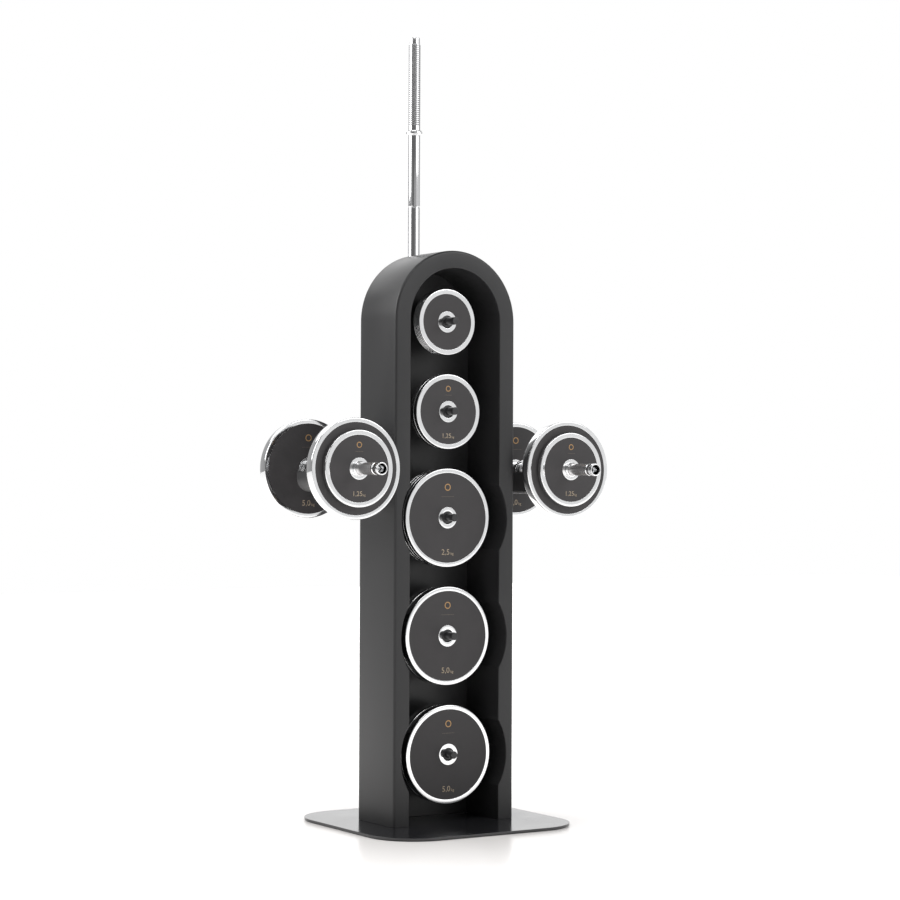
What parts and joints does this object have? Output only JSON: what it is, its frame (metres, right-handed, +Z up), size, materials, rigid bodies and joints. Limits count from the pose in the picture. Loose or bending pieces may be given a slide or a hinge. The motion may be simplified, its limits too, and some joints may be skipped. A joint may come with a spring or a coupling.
{
  "type": "dumbbell rack",
  "caption": "Arch-topped tower rack on a floor plate, with stored weight plates on pegs, a loaded dumbbell in a cradle on each side and a long bar standing behind.",
  "frame": {"origin": "centre of the footprint, on the floor under the felt pad", "axes": "+Z up, -Y out of the open front of the niche, +X to the right as seen from the front"},
  "size_m": [0.7026, 0.438, 1.6175],
  "materials": {
    "lacquer": "satin black lacquer over shaped fibreboard",
    "coated_steel": "satin black powder coat",
    "chrome": "polished chrome",
    "zinc": "zinc-plated steel",
    "cradle_black": "moulded black polyurethane",
    "felt": "pressed felt underlay",
    "plate_inlay": "dark grey rubber face between hub and rim",
    "gilt_print": "gold print of the weight"
  },
  "bodies": {
    "tower": {"floor_plate": "coated_steel", "floor_pad": "felt", "left_wall": "lacquer", "right_wall": "lacquer", "arch_cap": "lacquer", "back_panel": "lacquer", "peg_1": "coated_steel", "peg_2": "coated_steel", "peg_3": "coated_steel", "peg_4": "coated_steel", "peg_5": "coated_steel", "peg_bolt_1": "zinc", "peg_bolt_2": "zinc", "peg_bolt_3": "zinc", "peg_bolt_4": "zinc", "peg_bolt_5": "zinc", "left_cradle": "cradle_black", "left_cradle_bracket": "chrome", "right_cradle": "cradle_black", "right_cradle_bracket": "chrome", "long_bar_socket": "coated_steel", "long_bar_clip": "cradle_black"},
    "peg_1_plate_1": {"peg_1_plate_5kg_1": "chrome"},
    "peg_1_plate_2": {"peg_1_plate_5kg_2": "chrome"},
    "peg_2_plate_1": {"peg_2_plate_5kg_1": "chrome"},
    "peg_2_plate_2": {"peg_2_plate_5kg_2": "chrome"},
    "peg_3_plate_1": {"peg_3_plate_2_5kg_1": "chrome"},
    "peg_3_plate_2": {"peg_3_plate_2_5kg_2": "chrome"},
    "peg_3_plate_3": {"peg_3_plate_2_5kg_3": "chrome"},
    "peg_3_plate_4": {"peg_3_plate_2_5kg_4": "chrome"},
    "peg_4_plate_1": {"peg_4_plate_1_25kg_1": "chrome"},
    "peg_4_plate_2": {"peg_4_plate_1_25kg_2": "chrome"},
    "peg_5_plate_1": {"peg_5_plate_0_5kg_1": "chrome"},
    "peg_5_plate_2": {"peg_5_plate_0_5kg_2": "chrome"},
    "peg_5_plate_3": {"peg_5_plate_0_5kg_3": "chrome"},
    "peg_5_plate_4": {"peg_5_plate_0_5kg_4": "chrome"},
    "peg_5_plate_5": {"peg_5_plate_0_5kg_5": "chrome"},
    "left_dumbbell": {"left_dumbbell_bar": "chrome", "left_front_collar": "chrome", "left_rear_collar": "chrome"},
    "left_front_large_plate": {"left_front_plate_5kg": "chrome"},
    "left_front_small_plate": {"left_front_plate_1_25kg": "chrome"},
    "left_front_lock_sleeve": {"left_front_lock": "chrome"},
    "left_rear_large_plate": {"left_rear_plate_5kg": "chrome"},
    "left_rear_small_plate": {"left_rear_plate_1_25kg": "chrome"},
    "left_rear_lock_sleeve": {"left_rear_lock": "chrome"},
    "right_dumbbell": {"right_dumbbell_bar": "chrome", "right_front_collar": "chrome", "right_rear_collar": "chrome"},
    "right_front_large_plate": {"right_front_plate_5kg": "chrome"},
    "right_front_small_plate": {"right_front_plate_1_25kg": "chrome"},
    "right_front_lock_sleeve": {"right_front_lock": "chrome"},
    "right_rear_large_plate": {"right_rear_plate_5kg": "chrome"},
    "right_rear_small_plate": {"right_rear_plate_1_25kg": "chrome"},
    "right_rear_lock_sleeve": {"right_rear_lock": "chrome"},
    "standing_bar": {"long_bar": "chrome", "long_bar_lower_collar": "chrome", "long_bar_upper_collar": "chrome"}
  },
  "joints": [
    {"name": "peg_1_plate_2_slide", "type": "slide", "parent": "tower", "child": "peg_1_plate_2", "axis": [0, -1, 0], "range_m": [0, 0.0688]},
    {"name": "peg_1_plate_1_slide", "type": "slide", "parent": "peg_1_plate_2", "child": "peg_1_plate_1", "axis": [0, -1, 0], "range_m": [0, 0.0474]},
    {"name": "peg_2_plate_2_slide", "type": "slide", "parent": "tower", "child": "peg_2_plate_2", "axis": [0, -1, 0], "range_m": [0, 0.0733]},
    {"name": "peg_2_plate_1_slide", "type": "slide", "parent": "peg_2_plate_2", "child": "peg_2_plate_1", "axis": [0, -1, 0], "range_m": [0, 0.0519]},
    {"name": "peg_3_plate_4_slide", "type": "slide", "parent": "tower", "child": "peg_3_plate_4", "axis": [0, -1, 0], "range_m": [0, 0.0747]},
    {"name": "peg_3_plate_3_slide", "type": "slide", "parent": "peg_3_plate_4", "child": "peg_3_plate_3", "axis": [0, -1, 0], "range_m": [0, 0.064]},
    {"name": "peg_3_plate_2_slide", "type": "slide", "parent": "peg_3_plate_3", "child": "peg_3_plate_2", "axis": [0, -1, 0], "range_m": [0, 0.0533]},
    {"name": "peg_3_plate_1_slide", "type": "slide", "parent": "peg_3_plate_2", "child": "peg_3_plate_1", "axis": [0, -1, 0], "range_m": [0, 0.0426]},
    {"name": "peg_4_plate_2_slide", "type": "slide", "parent": "tower", "child": "peg_4_plate_2", "axis": [0, -1, 0], "range_m": [0, 0.0555]},
    {"name": "peg_4_plate_1_slide", "type": "slide", "parent": "peg_4_plate_2", "child": "peg_4_plate_1", "axis": [0, -1, 0], "range_m": [0, 0.0434]},
    {"name": "peg_5_plate_5_slide", "type": "slide", "parent": "tower", "child": "peg_5_plate_5", "axis": [0, -1, 0], "range_m": [0, 0.0626]},
    {"name": "peg_5_plate_4_slide", "type": "slide", "parent": "peg_5_plate_5", "child": "peg_5_plate_4", "axis": [0, -1, 0], "range_m": [0, 0.0574]},
    {"name": "peg_5_plate_3_slide", "type": "slide", "parent": "peg_5_plate_4", "child": "peg_5_plate_3", "axis": [0, -1, 0], "range_m": [0, 0.0522]},
    {"name": "peg_5_plate_2_slide", "type": "slide", "parent": "peg_5_plate_3", "child": "peg_5_plate_2", "axis": [0, -1, 0], "range_m": [0, 0.047]},
    {"name": "peg_5_plate_1_slide", "type": "slide", "parent": "peg_5_plate_2", "child": "peg_5_plate_1", "axis": [0, -1, 0], "range_m": [0, 0.0418]},
    {"name": "left_dumbbell_lift", "type": "slide", "parent": "tower", "child": "left_dumbbell", "axis": [0, 0, 1], "range_m": [0, 0.12]},
    {"name": "left_front_large_plate_slide", "type": "slide", "parent": "left_dumbbell", "child": "left_front_large_plate", "axis": [0, -1, 0], "range_m": [0, 0.077]},
    {"name": "left_front_small_plate_slide", "type": "slide", "parent": "left_front_large_plate", "child": "left_front_small_plate", "axis": [0, -1, 0], "range_m": [0, 0.056]},
    {"name": "left_front_lock_unscrew", "type": "slide", "parent": "left_front_small_plate", "child": "left_front_lock_sleeve", "axis": [0, -1, 0], "range_m": [0, 0.044]},
    {"name": "left_rear_large_plate_slide", "type": "slide", "parent": "left_dumbbell", "child": "left_rear_large_plate", "axis": [0, 1, 0], "range_m": [0, 0.077]},
    {"name": "left_rear_small_plate_slide", "type": "slide", "parent": "left_rear_large_plate", "child": "left_rear_small_plate", "axis": [0, 1, 0], "range_m": [0, 0.056]},
    {"name": "left_rear_lock_unscrew", "type": "slide", "parent": "left_rear_small_plate", "child": "left_rear_lock_sleeve", "axis": [0, 1, 0], "range_m": [0, 0.044]},
    {"name": "right_dumbbell_lift", "type": "slide", "parent": "tower", "child": "right_dumbbell", "axis": [0, 0, 1], "range_m": [0, 0.12]},
    {"name": "right_front_large_plate_slide", "type": "slide", "parent": "right_dumbbell", "child": "right_front_large_plate", "axis": [0, -1, 0], "range_m": [0, 0.077]},
    {"name": "right_front_small_plate_slide", "type": "slide", "parent": "right_front_large_plate", "child": "right_front_small_plate", "axis": [0, -1, 0], "range_m": [0, 0.056]},
    {"name": "right_front_lock_unscrew", "type": "slide", "parent": "right_front_small_plate", "child": "right_front_lock_sleeve", "axis": [0, -1, 0], "range_m": [0, 0.044]},
    {"name": "right_rear_large_plate_slide", "type": "slide", "parent": "right_dumbbell", "child": "right_rear_large_plate", "axis": [0, 1, 0], "range_m": [0, 0.077]},
    {"name": "right_rear_small_plate_slide", "type": "slide", "parent": "right_rear_large_plate", "child": "right_rear_small_plate", "axis": [0, 1, 0], "range_m": [0, 0.056]},
    {"name": "right_rear_lock_unscrew", "type": "slide", "parent": "right_rear_small_plate", "child": "right_rear_lock_sleeve", "axis": [0, 1, 0], "range_m": [0, 0.044]},
    {"name": "long_bar_lift", "type": "slide", "parent": "tower", "child": "standing_bar", "axis": [0, 0, 1], "range_m": [0, 0.04]}
  ]
}
